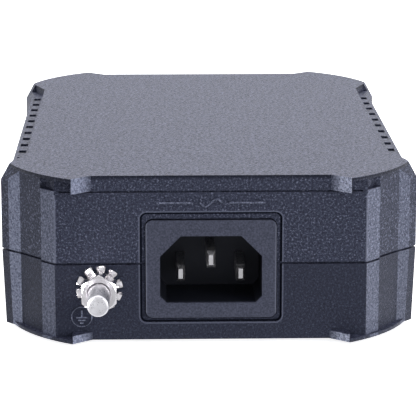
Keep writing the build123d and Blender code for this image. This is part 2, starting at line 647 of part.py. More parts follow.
# ================================================================ main board and what it carries
def block(width, depth, height, x, y, z=BOARD, rounding=0.0):
    """Upright moulded block standing on z at x, y."""
    with BuildPart() as body:
        with BuildSketch(Plane.XY.offset(z)):
            with Locations((x, y)):
                Rectangle(width, depth)
        extrude(amount=height)
        if rounding:
            fillet(body.edges().filter_by(Axis.Z), radius=rounding)
            fillet(body.faces().sort_by(Axis.Z)[-1].edges(), radius=rounding * 0.6)
    return body


def can(radius, height, points, z=BOARD):
    """Round capacitor cans with a crimped groove and a scored top."""
    groove = radius * 0.06
    with BuildPart() as cans:
        with BuildSketch(Plane.XY.offset(z)):
            with Locations(*points):
                Circle(radius)
        extrude(amount=height)
        with BuildSketch(Plane.XY.offset(z + 1.6)):
            with Locations(*points):
                Circle(radius + 1)
                Circle(radius - groove, mode=Mode.SUBTRACT)
        extrude(amount=0.8, mode=Mode.SUBTRACT)
        with BuildSketch(Plane.XY.offset(z + height)):
            with Locations(*points):
                Rectangle(radius * 1.2, 0.4)
                Rectangle(0.4, radius * 1.2)
        extrude(amount=-0.3, mode=Mode.SUBTRACT)
    return cans


def disc(radius, thickness, x, y, z):
    """Dipped disc component standing on edge, facing along Y."""
    with BuildPart() as body:
        with BuildSketch(Plane.XZ.offset(-y + thickness / 2)):
            with Locations((x, z)):
                Circle(radius)
        extrude(amount=-thickness)
        fillet(body.edges().filter_by(GeomType.CIRCLE), radius=thickness * 0.35)
        with BuildSketch(Plane.XY.offset(BOARD - 2.5)):
            with Locations((x - 2.5, y), (x + 2.5, y)):
                Circle(0.4)
        extrude(amount=z - radius * 0.8 - BOARD + 2.5)
    return body


BLADE_SLOTS = [(-PIN_SPACING / 2, PIN_TAIL_END - PIN_TAIL / 2),
               (PIN_SPACING / 2, PIN_TAIL_END - PIN_TAIL / 2)]

with BuildPart() as main_board:
    with BuildSketch(Plane.XY.offset(BOARD_BOTTOM)):
        with Locations((0, (BOARD_FRONT + BOARD_NOTCH) / 2)):
            Rectangle(2 * BOARD_HALF_WIDTH, BOARD_NOTCH - BOARD_FRONT)
        with Locations((0, (BOARD_NOTCH + BOARD_REAR) / 2)):
            Rectangle(2 * BOARD_TONGUE_HALF_WIDTH, BOARD_REAR - BOARD_NOTCH)
        with Locations(*POST_POINTS):
            Circle(POST_SCREW_RADIUS + 0.2, mode=Mode.SUBTRACT)
        with Locations(*BLADE_SLOTS):
            Rectangle(PIN_THICKNESS + 0.3, PIN_TAIL + 0.3, mode=Mode.SUBTRACT)
        # Lead holes of the leaded parts.
        with Locations(*LEAD_HOLES):
            Circle(0.6, mode=Mode.SUBTRACT)
        # Slots for the tabs of the jack shields.
        with Locations(*[(x + side * (JACK_SIZE[0] - JACK_SHEET) / 2, JACK_FACE - JACK_SIZE[1] / 2)
                         for x in (-JACK_X, JACK_X) for side in (-1, 1)]):
            Rectangle(JACK_SHEET + 0.3, 1.9, mode=Mode.SUBTRACT)
        # Isolation slot between the mains side and the output side.
        with Locations((ISOLATION_X, ISOLATION_Y)):
            SlotOverall(22, 2.0, mode=Mode.SUBTRACT)
    extrude(amount=BOARD_THICKNESS)
main_board.part.label = "main_board"
export_step(main_board.part, "parts/main_board.step")

with BuildPart() as board_screws:
    with BuildSketch(Plane.XY.offset(BOARD)):
        with Locations(*POST_POINTS):
            Circle(2.4)
    extrude(amount=1.6)
    fillet(board_screws.faces().group_by(Axis.Z)[-1].edges(), radius=0.8)
    with BuildSketch(Plane.XY.offset(BOARD)):
        with Locations(*POST_POINTS):
            Circle(POST_SCREW_RADIUS)
    extrude(amount=BASE + FLOOR + 0.5 - BOARD)
    with BuildSketch(Plane.XY.offset(BOARD + 1.6)):
        with Locations(*POST_POINTS):
            Rectangle(2.6, 0.6)
            Rectangle(0.6, 2.6)
    extrude(amount=-0.8, mode=Mode.SUBTRACT)
board_screws.part.label = "board_screws"
export_step(board_screws.part, "parts/board_screws.step")

# ---- mains side
with BuildPart() as fuse:
    with BuildSketch(Plane.XZ.offset(-FUSE_Y + FUSE_LENGTH / 2)):
        with Locations((FUSE_X, BOARD + 4.0)):
            Circle(2.3)
    extrude(amount=-FUSE_LENGTH)
    for end in (-1, 1):
        middle = FUSE_Y + end * (FUSE_LENGTH / 2 - 2.5)
        with BuildSketch(Plane.XZ.offset(-middle + 2.5)):
            with Locations((FUSE_X, BOARD + 4.0)):
                Circle(2.6)
        extrude(amount=-5.0)
        with BuildSketch(Plane.XZ.offset(-middle + 1.5)):
            with Locations((FUSE_X, BOARD + 2.2)):
                Rectangle(6.4, 4.4)
        extrude(amount=-3.0)
fuse.part.label = "fuse"
export_step(fuse.part, "parts/fuse.step")

varistor = disc(5.0, 4.0, *VARISTOR_XY, BOARD + 7.5)
varistor.part.label = "varistor"
export_step(varistor.part, "parts/varistor.step")

inrush_thermistor = disc(6.0, 5.0, *THERMISTOR_XY, BOARD + 8.0)
inrush_thermistor.part.label = "inrush_thermistor"
export_step(inrush_thermistor.part, "parts/inrush_thermistor.step")

x_capacitor = block(18.0, 8.5, 15.0, *X_CAPACITOR_XY, rounding=0.8)
x_capacitor.part.label = "x_capacitor"
export_step(x_capacitor.part, "parts/x_capacitor.step")

with BuildPart() as choke_core:
    with BuildSketch(Plane.XZ.offset(-CHOKE_XY[1] + CHOKE_WIDTH / 2)):
        with Locations((CHOKE_XY[0], CHOKE_Z)):
            Circle(CHOKE_RADIUS)
            Circle(CHOKE_BORE, mode=Mode.SUBTRACT)
    extrude(amount=-CHOKE_WIDTH)
choke_core.part.label = "choke_core"
export_step(choke_core.part, "parts/choke_core.step")

with BuildPart() as choke_winding:
    # Two bundles of turns, one over each half of the ring.
    with BuildSketch(Plane.XZ.offset(-CHOKE_XY[1] + CHOKE_WIDTH / 2 + 1.0)):
        with Locations((CHOKE_XY[0], CHOKE_Z)):
            Circle(CHOKE_RADIUS + 1.0)
            Circle(CHOKE_BORE - 1.0, mode=Mode.SUBTRACT)
            Rectangle(5.0, 3 * CHOKE_RADIUS, mode=Mode.SUBTRACT)
    extrude(amount=-CHOKE_WIDTH - 2.0)
    with BuildSketch(Plane.XZ.offset(-CHOKE_XY[1] + CHOKE_WIDTH / 2)):
        with Locations((CHOKE_XY[0], CHOKE_Z)):
            Circle(CHOKE_RADIUS + 0.05)
            Circle(CHOKE_BORE - 0.05, mode=Mode.SUBTRACT)
    extrude(amount=-CHOKE_WIDTH, mode=Mode.SUBTRACT)
choke_winding.part.label = "choke_winding"
export_step(choke_winding.part, "parts/choke_winding.step")

bridge_rectifier = block(4.6, 20.0, 17.0, *BRIDGE_XY, BOARD + 2.0, rounding=0.5)
bridge_rectifier.part.label = "bridge_rectifier"
export_step(bridge_rectifier.part, "parts/bridge_rectifier.step")

bulk_capacitor = can(11.0, 26.0, [BULK_XY])
bulk_capacitor.part.label = "bulk_capacitor"
export_step(bulk_capacitor.part, "parts/bulk_capacitor.step")

y_capacitor = disc(4.0, 3.4, *Y_CAPACITOR_XY, BOARD + 6.5)
y_capacitor.part.label = "y_capacitor"
export_step(y_capacitor.part, "parts/y_capacitor.step")


def heat_sink(x, y, length, height):
    """Upright aluminium plate with short fins along its outer side."""
    outwards = 1 if x > 0 else -1
    with BuildPart() as sink:
        with BuildSketch(Plane.XY.offset(BOARD)):
            with Locations((x, y)):
                Rectangle(SINK_THICKNESS, length)
            with Locations((x + outwards * (SINK_THICKNESS / 2 + SINK_FIN / 2), y)):
                with GridLocations(0, 5.0, 1, int(length / 5)):
                    Rectangle(SINK_FIN, 1.2)
        extrude(amount=height)
    return sink


def power_package(sink_x, y, label_side):
    """Power transistor or diode: moulded body on a metal tab, flat against its heat sink."""
    inner = sink_x - label_side * SINK_THICKNESS / 2
    with BuildPart() as package:
        with BuildSketch(Plane.YZ.offset(inner)):
            with Locations((y, BOARD + 16.0)):
                Rectangle(10.0, 15.0)
            with Locations((y, BOARD + 21.0)):
                Circle(1.8, mode=Mode.SUBTRACT)
        extrude(amount=-label_side * 1.3)
        with BuildSketch(Plane.YZ.offset(inner)):
            with Locations((y, BOARD + 13.0)):
                Rectangle(10.0, 9.0)
        extrude(amount=-label_side * 4.4)
        with BuildSketch(Plane.YZ.offset(inner - label_side * 2.4)):
            with Locations((y - 2.54, BOARD + 4.0), (y, BOARD + 4.0), (y + 2.54, BOARD + 4.0)):
                Rectangle(0.8, 13.0)
        extrude(amount=-label_side * 0.5)
    return package


primary_heat_sink = heat_sink(-SINK_X, PRIMARY_SINK_Y, 40.0, 25.0)
primary_heat_sink.part.label = "primary_heat_sink"
export_step(primary_heat_sink.part, "parts/primary_heat_sink.step")

switching_transistor = power_package(-SINK_X, PRIMARY_SINK_Y, -1)
switching_transistor.part.label = "switching_transistor"
export_step(switching_transistor.part, "parts/switching_transistor.step")

secondary_heat_sink = heat_sink(SINK_X, SECONDARY_SINK_Y, 30.0, 25.0)
secondary_heat_sink.part.label = "secondary_heat_sink"
export_step(secondary_heat_sink.part, "parts/secondary_heat_sink.step")

output_rectifier = power_package(SINK_X, SECONDARY_SINK_Y, 1)
output_rectifier.part.label = "output_rectifier"
export_step(output_rectifier.part, "parts/output_rectifier.step")

with BuildPart() as package_screws:
    for side, y in ((-1, PRIMARY_SINK_Y), (1, SECONDARY_SINK_Y)):
        tab = side * (SINK_X - SINK_THICKNESS / 2 - 1.3)
        with BuildSketch(Plane.YZ.offset(tab)):
            with Locations((y, BOARD + 21.0)):
                Circle(2.8)
                RegularPolygon(radius=1.2, side_count=6, mode=Mode.SUBTRACT)
        extrude(amount=-side * 1.8)
        with BuildSketch(Plane.YZ.offset(tab)):
            with Locations((y, BOARD + 21.0)):
                Circle(1.5)
        extrude(amount=side * 1.3)
package_screws.part.label = "package_screws"
export_step(package_screws.part, "parts/package_screws.step")

# ---- transformer: a ferrite frame around a wound bobbin
with BuildPart() as transformer_core:
    with BuildSketch(Plane.XY.offset(BOARD + 3.0)):
        with Locations(TRANSFORMER_XY):
            Rectangle(10.0, CORE_LENGTH)
    extrude(amount=CORE_HEIGHT)
    with BuildSketch(Plane.XY.offset(BOARD + 3.0 + CORE_YOKE)):
        with Locations(TRANSFORMER_XY):
            Rectangle(12.0, CORE_LENGTH - 2 * CORE_YOKE)
    extrude(amount=CORE_HEIGHT - 2 * CORE_YOKE, mode=Mode.SUBTRACT)
    with BuildSketch(Plane.XY.offset(BOARD + 3.0)):
        with Locations(TRANSFORMER_XY):
            Circle(4.6)
    extrude(amount=CORE_HEIGHT)
transformer_core.part.label = "transformer_core"
export_step(transformer_core.part, "parts/transformer_core.step")

with BuildPart() as transformer_bobbin:
    with BuildSketch(Plane.XY.offset(BOARD + 3.2 + CORE_YOKE)):
        with Locations(TRANSFORMER_XY):
            Circle(BOBBIN_RADIUS)
            Circle(4.8, mode=Mode.SUBTRACT)
    extrude(amount=CORE_HEIGHT - 2 * CORE_YOKE - 0.4)
    with BuildSketch(Plane.XY.offset(BOARD + 4.2 + CORE_YOKE)):
        with Locations(TRANSFORMER_XY):
            Circle(BOBBIN_RADIUS + 1)
            Circle(5.8, mode=Mode.SUBTRACT)
    extrude(amount=CORE_HEIGHT - 2 * CORE_YOKE - 2.4, mode=Mode.SUBTRACT)
    # Pin rails that stand on the board each side of the core.
    for side in (-1, 1):
        with BuildSketch(Plane.XY.offset(BOARD)):
            with Locations((TRANSFORMER_XY[0] + side * 8.5, TRANSFORMER_XY[1])):
                Rectangle(4.0, 18.0)
        extrude(amount=CORE_YOKE + 4.2)
        with BuildSketch(Plane.XY.offset(BOARD - 2.5)):
            with Locations((TRANSFORMER_XY[0] + side * 8.5, TRANSFORMER_XY[1])):
                with GridLocations(0, 3.6, 1, 5):
                    Circle(0.4)
        extrude(amount=2.5)
transformer_bobbin.part.label = "transformer_bobbin"
export_step(transformer_bobbin.part, "parts/transformer_bobbin.step")

with BuildPart() as transformer_winding:
    with BuildSketch(Plane.XY.offset(BOARD + 4.3 + CORE_YOKE)):
        with Locations(TRANSFORMER_XY):
            Circle(BOBBIN_RADIUS - 0.6)
            Circle(5.9, mode=Mode.SUBTRACT)
    extrude(amount=CORE_HEIGHT - 2 * CORE_YOKE - 2.6)
transformer_winding.part.label = "transformer_winding"
export_step(transformer_winding.part, "parts/transformer_winding.step")

# ---- output side
output_capacitors = can(6.25, 20.0, OUTPUT_CAP_POINTS)
output_capacitors.part.label = "output_capacitors"
export_step(output_capacitors.part, "parts/output_capacitors.step")

with BuildPart() as output_inductor:
    with BuildSketch(Plane.XY.offset(BOARD)):
        with Locations(INDUCTOR_XY):
            Circle(7.0)
    extrude(amount=12.0)
    with BuildSketch(Plane.XY.offset(BOARD + 1.6)):
        with Locations(INDUCTOR_XY):
            Circle(8.0)
            Circle(6.2, mode=Mode.SUBTRACT)
    extrude(amount=8.8, mode=Mode.SUBTRACT)
output_inductor.part.label = "output_inductor"
export_step(output_inductor.part, "parts/output_inductor.step")


def flat_package(width, depth, height, x, y, leads):
    """Chip with a row of bent leads down each side."""
    with BuildPart() as chip:
        with BuildSketch(Plane.XY.offset(BOARD + 0.15)):
            with Locations((x, y)):
                Rectangle(width, depth)
        extrude(amount=height)
        chamfer(chip.faces().sort_by(Axis.Z)[-1].edges(), length=0.2)
        for side in (-1, 1):
            with BuildSketch(Plane.XY.offset(BOARD)):
                with Locations((x + side * (width / 2 + 0.6), y)):
                    with GridLocations(0, 1.27, 1, leads):
                        Rectangle(1.6, 0.45)
            extrude(amount=0.35)
    return chip


poe_controller = flat_package(7.5, 10.3, 2.2, *CONTROLLER_XY, 8)
poe_controller.part.label = "poe_controller"
export_step(poe_controller.part, "parts/poe_controller.step")

optocoupler = flat_package(6.4, 4.6, 3.4, *OPTOCOUPLER_XY, 2)
optocoupler.part.label = "optocoupler"
export_step(optocoupler.part, "parts/optocoupler.step")

for name, x in (("data", -JACK_X), ("power", JACK_X)):
    magnetics = flat_package(12.0, 14.0, 5.8, x, MAGNETICS_Y, 10)
    magnetics.part.label = f"{name}_magnetics"
    export_step(magnetics.part, f"parts/{name}_magnetics.step")


# ================================================================ network jacks
def jack_cavity(x):
    """Face of the plug cavity: contact side above, latch slot below."""
    with BuildSketch(Plane.XZ.offset(-JACK_FACE)) as mouth:
        with Locations((x, BOARD + PLUG_SILL + PLUG_HEIGHT / 2)):
            Rectangle(PLUG_WIDTH, PLUG_HEIGHT)
        with Locations((x, BOARD + PLUG_SILL - LATCH_HEIGHT / 2)):
            Rectangle(LATCH_WIDTH, LATCH_HEIGHT)
    return mouth.sketch


def jack_housing(x):
    """Moulded insert of a jack, open towards +Y."""
    width, depth, height = JACK_SIZE
    with BuildPart() as housing:
        with BuildSketch(Plane.XZ.offset(-JACK_FACE)):
            with Locations((x, JACK_Z)):
                Rectangle(width - 2 * JACK_SHEET - 0.1, height - 2 * JACK_SHEET - 0.1)
        extrude(amount=depth - JACK_SHEET)
        extrude(jack_cavity(x), amount=PLUG_DEPTH, mode=Mode.SUBTRACT)
        # Comb slots above the plug that hold the contact springs.
        with BuildSketch(Plane.XZ.offset(-JACK_FACE + 1.5)):
            with Locations((x, BOARD + PLUG_SILL + PLUG_HEIGHT + COMB_HEIGHT / 2)):
                with GridLocations(CONTACT_PITCH, 0, CONTACT_COUNT, 1):
                    Rectangle(0.56, COMB_HEIGHT)
        extrude(amount=PLUG_DEPTH - 1.5, mode=Mode.SUBTRACT)
    return housing


def jack_shield(x):
    """Folded sheet-metal shield, open at the front, with two board tabs."""
    width, depth, height = JACK_SIZE
    with BuildPart() as shield:
        with BuildSketch(Plane.XZ.offset(-JACK_FACE)):
            with Locations((x, JACK_Z)):
                Rectangle(width, height)
        extrude(amount=depth)
        with BuildSketch(Plane.XZ.offset(-JACK_FACE)):
            with Locations((x, JACK_Z)):
                Rectangle(width - 2 * JACK_SHEET, height - 2 * JACK_SHEET)
        extrude(amount=depth - JACK_SHEET, mode=Mode.SUBTRACT)
        for side in (-1, 1):
            with BuildSketch(Plane.YZ.offset(x + side * (width - JACK_SHEET) / 2)):
                with Locations((JACK_FACE - depth / 2, BOARD - 1.2)):
                    Rectangle(1.6, 2.4)
            extrude(amount=JACK_SHEET / 2, both=True)
    return shield


def jack_contacts(x):
    """Eight sprung contact wires that slant down into the plug cavity."""
    comb = BOARD + PLUG_SILL + PLUG_HEIGHT
    with BuildPart() as contacts:
        with BuildSketch(Plane.YZ.offset(x)) as wire:
            with BuildLine():
                Polyline((JACK_FACE - 2.0, comb + 0.1 + CONTACT_THICKNESS),
                         (JACK_FACE - 10.5, comb - CONTACT_DIP + CONTACT_THICKNESS),
                         (JACK_FACE - 10.5, comb - CONTACT_DIP), (JACK_FACE - 2.0, comb + 0.1),
                         close=True)
            make_face()
        with Locations(*[(CONTACT_PITCH * (i - (CONTACT_COUNT - 1) / 2), 0, 0)
                         for i in range(CONTACT_COUNT)]):
            add(extrude(wire.sketch, amount=0.2, both=True, mode=Mode.PRIVATE))
    return contacts


for name, x in (("data", -JACK_X), ("power", JACK_X)):
    housing = jack_housing(x)
    housing.part.label = f"{name}_jack_housing"
    export_step(housing.part, f"parts/{name}_jack_housing.step")
    shield = jack_shield(x)
    shield.part.label = f"{name}_jack_shield"
    export_step(shield.part, f"parts/{name}_jack_shield.step")
    contacts = jack_contacts(x)
    contacts.part.label = f"{name}_jack_contacts"
    export_step(contacts.part, f"parts/{name}_jack_contacts.step")

with BuildPart() as status_lights:
    with BuildSketch(Plane.XY.offset(BOARD)):
        with Locations(*[(x, LIGHT_FRONT - 2.5) for x in LIGHT_X]):
            Rectangle(3.6, 5.0)
    extrude(amount=LIGHT_Z - BOARD + 2.0)
    with BuildSketch(Plane.XZ.offset(-LIGHT_FRONT)):
        with Locations(*[(x, LIGHT_Z) for x in LIGHT_X]):
            Circle(LIGHT_RADIUS)
    extrude(amount=-1.2)
    fillet(status_lights.faces().group_by(Axis.Y)[-1].edges(), radius=0.6)
status_lights.part.label = "status_lights"
export_step(status_lights.part, "parts/status_lights.step")

with BuildPart() as light_pipes:
    with BuildSketch(Plane.XZ.offset(-REAR - 0.3)):
        with Locations(*[(x, LIGHT_Z) for x in LIGHT_X]):
            Circle(LIGHT_RADIUS)
    extrude(amount=REAR + 0.3 - LIGHT_FRONT - 1.6)
    with BuildSketch(Plane.XZ.offset(-REAR + WALL)):
        with Locations(*[(x, LIGHT_Z) for x in LIGHT_X]):
            Circle(LIGHT_RADIUS + 0.7)
    extrude(amount=1.0)
    fillet(light_pipes.faces().group_by(Axis.Y)[-1].edges(), radius=0.5)
light_pipes.part.label = "light_pipes"
export_step(light_pipes.part, "parts/light_pipes.step")
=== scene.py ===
import json
import math

import bpy
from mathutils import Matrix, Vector


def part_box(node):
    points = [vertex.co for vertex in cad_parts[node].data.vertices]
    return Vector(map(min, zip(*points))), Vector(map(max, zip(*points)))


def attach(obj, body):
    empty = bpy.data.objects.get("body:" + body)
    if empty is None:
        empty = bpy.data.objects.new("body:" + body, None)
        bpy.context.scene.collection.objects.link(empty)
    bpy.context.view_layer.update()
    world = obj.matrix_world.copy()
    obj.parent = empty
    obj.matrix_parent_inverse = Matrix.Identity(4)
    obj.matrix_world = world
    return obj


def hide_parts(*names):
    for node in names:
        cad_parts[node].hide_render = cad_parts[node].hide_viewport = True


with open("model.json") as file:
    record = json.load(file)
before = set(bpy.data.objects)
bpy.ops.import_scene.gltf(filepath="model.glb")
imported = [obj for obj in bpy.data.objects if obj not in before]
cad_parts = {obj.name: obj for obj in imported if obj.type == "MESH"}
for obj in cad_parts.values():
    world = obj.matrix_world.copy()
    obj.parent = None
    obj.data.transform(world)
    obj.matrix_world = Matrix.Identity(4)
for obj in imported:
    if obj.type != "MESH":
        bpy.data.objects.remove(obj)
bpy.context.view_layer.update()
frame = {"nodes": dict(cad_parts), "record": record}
MM = 0.001

# ---------------------------------------------------------------- places, read from the frame
bottom_low, bottom_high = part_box("bottom_case")
top_low, top_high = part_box("top_cover")
stud_low, stud_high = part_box("ground_stud")
washer_low, washer_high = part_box("tooth_lock_washer")
nut_low, nut_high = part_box("ground_nut")
inlet_low, inlet_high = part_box("inlet_housing")
FRONT = washer_high.y          # plane of the inlet end face
BASE = bottom_low.z            # underside of the case shell
SPLIT = top_low.z              # parting plane between the two halves
TOP = top_high.z
STUD_X = (nut_low.x + nut_high.x) / 2
STUD_Z = (nut_low.z + nut_high.z) / 2
STUD_RADIUS = 2.5 * MM
THREAD_PITCH = 0.8 * MM
THREAD_STEP = THREAD_PITCH / 10         # spacing of the rings along a thread

# ---------------------------------------------------------------- camera and studio
SENSOR_WIDTH = 36.0
LENS = 190.4
CAMERA_PLACE = (-12.95 * MM, FRONT - 492.3 * MM, BASE + 145.0 * MM)
CAMERA_PITCH = math.radians(13.0)       # looking down
CAMERA_YAW = 0.02485                    # looking a little to the right, in radians

# Each light's place, target, size and power in watts.
LIGHTS = {
    "right_light": ((0.75, -0.65, 0.25), (0.03, -0.05, 0.02), (0.4, 0.5), 4.0),
    "left_light": ((-0.8, -0.3, 0.35), (-0.03, -0.05, 0.02), (0.3, 0.4), 0.5),
    "top_light": ((0.0, 0.2, 0.9), (0, 0, 0.04), (0.7, 0.9), 4.0),
    "glint_light": ((-0.7, -0.45, 0.15), (STUD_X, FRONT, STUD_Z), (0.4, 0.4), 16.0),
}
WORLD_COLOUR = (0.95, 0.96, 1.0)
FRONT_STRENGTH, BACK_STRENGTH = 0.6, 1.6
LEFT_SHARE = 0.66                       # strength on the left, as a share of the right

FLOOR_SIZE = 6.0
FLOOR_LEVEL = -0.05 * MM                # just under the feet, so their faces don't coincide
FLOOR_GLOW = 0.85
WALL_RADIUS, WALL_HEIGHT = 2.9, 2.6

# ---------------------------------------------------------------- patches of the case's finish and of its painted light
# Each patch is a span outwards from the middle plane and a span back from the end face.
# The narrow facet, the ear ramps and the raised marks' tops carry painted highlights; the corner strip is a
# paler finish.
NARROW_FACET = ((36.1 * MM, 39.3 * MM), (0.05 * MM, 3.6 * MM))
CORNER_STRIP = ((44.5 * MM, 47.4 * MM), (11.0 * MM, 13.8 * MM))
EAR_RAMP = ((20.0 * MM, 32.0 * MM), (-5.0 * MM, -0.05 * MM))
EAR_RAMP_FADE = (27.0 * MM, 30.0 * MM)
# Span of the painted highlight on the vertical edge of the upper end face.
EDGE_HIGHLIGHT_SPAN = (35.75 * MM, 36.2 * MM)
MARK_TOPS = (-1.0 * MM, -0.12 * MM)     # the raised marks stand this far ahead of the end face
INLET_MARK_REACH = (14.0 * MM, 15.0 * MM)
EARTH_MARK_LEVELS = (BASE + 2.9 * MM, BASE + 8.3 * MM)
LIP_SHADE = (TOP - 1.1 * MM, TOP - 0.35 * MM)
MIDDLE_FADE = (-1.0 * MM, 1.0 * MM)     # the left and right sides meet here

RECESS_HALF_WIDTH = 16.45 * MM
RECESS_LOW, RECESS_HIGH = BASE + 4.1 * MM, BASE + 30.3 * MM
BEZEL_HALF_WIDTH = 15.1 * MM
FRAME_CORNER = 1.6 * MM                 # corner radius of the recess and of the bezel

DEEP_SHADE = (0.002, 0.003, 0.008)
# Colour of the painted glints on the grain and of the painted highlight on the recess rim.
PAINTED_HIGHLIGHT = (0.22, 0.24, 0.33)
# Colour of the painted highlight on the vertical edge of the upper end face.
EDGE_HIGHLIGHT_COLOUR = (0.26, 0.28, 0.37)
# Colour of the painted highlight on the bezel edge.
BEZEL_HIGHLIGHT = (0.26, 0.28, 0.36)
# Colour of the painted shade inside the plug cavity.
CAVITY_SHADE = (0.004, 0.005, 0.010)

# Widths in mm of the soft edges given to moulded nodes.
SOFT_EDGES = {
    "top_cover": 0.24, "bottom_case": 0.24, "inlet_housing": 0.22, "rubber_feet": 0.35,
    "inlet_line_pin": 0.25, "inlet_neutral_pin": 0.25, "inlet_earth_pin": 0.25,
    "data_jack_housing": 0.12, "power_jack_housing": 0.12,
    "data_jack_shield": 0.1, "power_jack_shield": 0.1,
}


# ================================================================ camera
def add_camera():
    """Long lens in front of the inlet end, a little left of the middle and above it."""
    data = bpy.data.cameras.new("camera")
    data.sensor_width = SENSOR_WIDTH
    data.lens = LENS
    data.clip_end = 10.0
    camera = bpy.data.objects.new("camera", data)
    bpy.context.scene.collection.objects.link(camera)
    level = math.cos(CAMERA_PITCH)
    forward = Vector((math.sin(CAMERA_YAW) * level, math.cos(CAMERA_YAW) * level,
                      -math.sin(CAMERA_PITCH)))
    camera.location = Vector(CAMERA_PLACE)
    camera.rotation_euler = forward.to_track_quat("-Z", "Y").to_euler()
    bpy.context.scene.camera = camera


# ================================================================ light and floor
def add_area_light(name):
    place, target, size, power = LIGHTS[name]
    data = bpy.data.lights.new(name, "AREA")
    data.shape = "RECTANGLE"
    data.size, data.size_y = size
    data.energy = power
    light = bpy.data.objects.new(name, data)
    light.location = Vector(place)
    light.rotation_euler = (Vector(target) - light.location).to_track_quat("-Z", "Y").to_euler()
    bpy.context.scene.collection.objects.link(light)
    return light


def map_range(tree, source, low, high, start, end):
    """Map Range node taking source from low..high to start..end."""
    node = tree.nodes.new("ShaderNodeMapRange")
    for socket, value in (("From Min", low), ("From Max", high), ("To Min", start), ("To Max", end)):
        node.inputs[socket].default_value = value
    tree.links.new(source, node.inputs["Value"])
    return node


def add_world():
    """Soft surroundings: bright behind the object, dimmer in front of it and on its left."""
    world = bpy.data.worlds.new("studio")
    world.use_nodes = True
    tree = world.node_tree
    background = tree.nodes["Background"]
    place = tree.nodes.new("ShaderNodeTexCoord")
    axes = tree.nodes.new("ShaderNodeSeparateXYZ")
    tree.links.new(place.outputs["Generated"], axes.inputs["Vector"])
    depth = map_range(tree, axes.outputs["Y"], -0.9, 0.9, FRONT_STRENGTH, BACK_STRENGTH)
    depth.interpolation_type = "SMOOTHSTEP"
    side = map_range(tree, axes.outputs["X"], -1.0, 0.2, LEFT_SHARE, 1.0)
    both = tree.nodes.new("ShaderNodeMath")
    both.operation = "MULTIPLY"
    tree.links.new(depth.outputs["Result"], both.inputs[0])
    tree.links.new(side.outputs["Result"], both.inputs[1])
    tree.links.new(both.outputs["Value"], background.inputs["Strength"])
    background.inputs["Color"].default_value = (*WORLD_COLOUR, 1)
    bpy.context.scene.world = world


def add_glint(pieces):
    """Light from the left that falls on the given bright pieces only."""
    glint = add_area_light("glint_light")
    lit = bpy.data.collections.new("glint_receivers")
    for piece in pieces:
        lit.objects.link(piece)
    glint.light_linking.receiver_collection = lit


def add_backdrop():
    """Plain round wall at the edge of the floor."""
    steps = 64
    around = [(WALL_RADIUS * math.cos(a), WALL_RADIUS * math.sin(a)) for a in circle(steps)]
    vertices = [(x, y, z) for z in (-0.01, WALL_HEIGHT) for x, y in around]
    faces = [(i, (i + 1) % steps, (i + 1) % steps + steps, i + steps) for i in range(steps)]
    mesh = bpy.data.meshes.new("backdrop")
    mesh.from_pydata(vertices, [], faces)
    wall = bpy.data.objects.new("backdrop", mesh)
    bpy.context.scene.collection.objects.link(wall)
    return wall


def add_studio():
    add_world()
    for name in ("right_light", "left_light", "top_light"):
        add_area_light(name)

    bpy.ops.mesh.primitive_plane_add(size=FLOOR_SIZE, location=(0, 0, FLOOR_LEVEL))
    floor = bpy.context.object
    floor.name = "floor"
    backdrop = add_backdrop()
    material = bpy.data.materials.new("floor")
    material.use_nodes = True
    shader = material.node_tree.nodes["Principled BSDF"]
    shader.inputs["Base Color"].default_value = (0.9, 0.9, 0.9, 1)
    shader.inputs["Roughness"].default_value = 0.9
    shader.inputs["Emission Color"].default_value = (1, 1, 1, 1)
    shader.inputs["Emission Strength"].default_value = FLOOR_GLOW
    # Seen by the camera only, so that the glow doesn't light the object from below.
    for stage in (floor, backdrop):
        stage.data.materials.append(material)
        stage.visible_diffuse = False
        stage.visible_glossy = False
    backdrop.visible_shadow = False

    bpy.context.scene.view_settings.view_transform = "Standard"


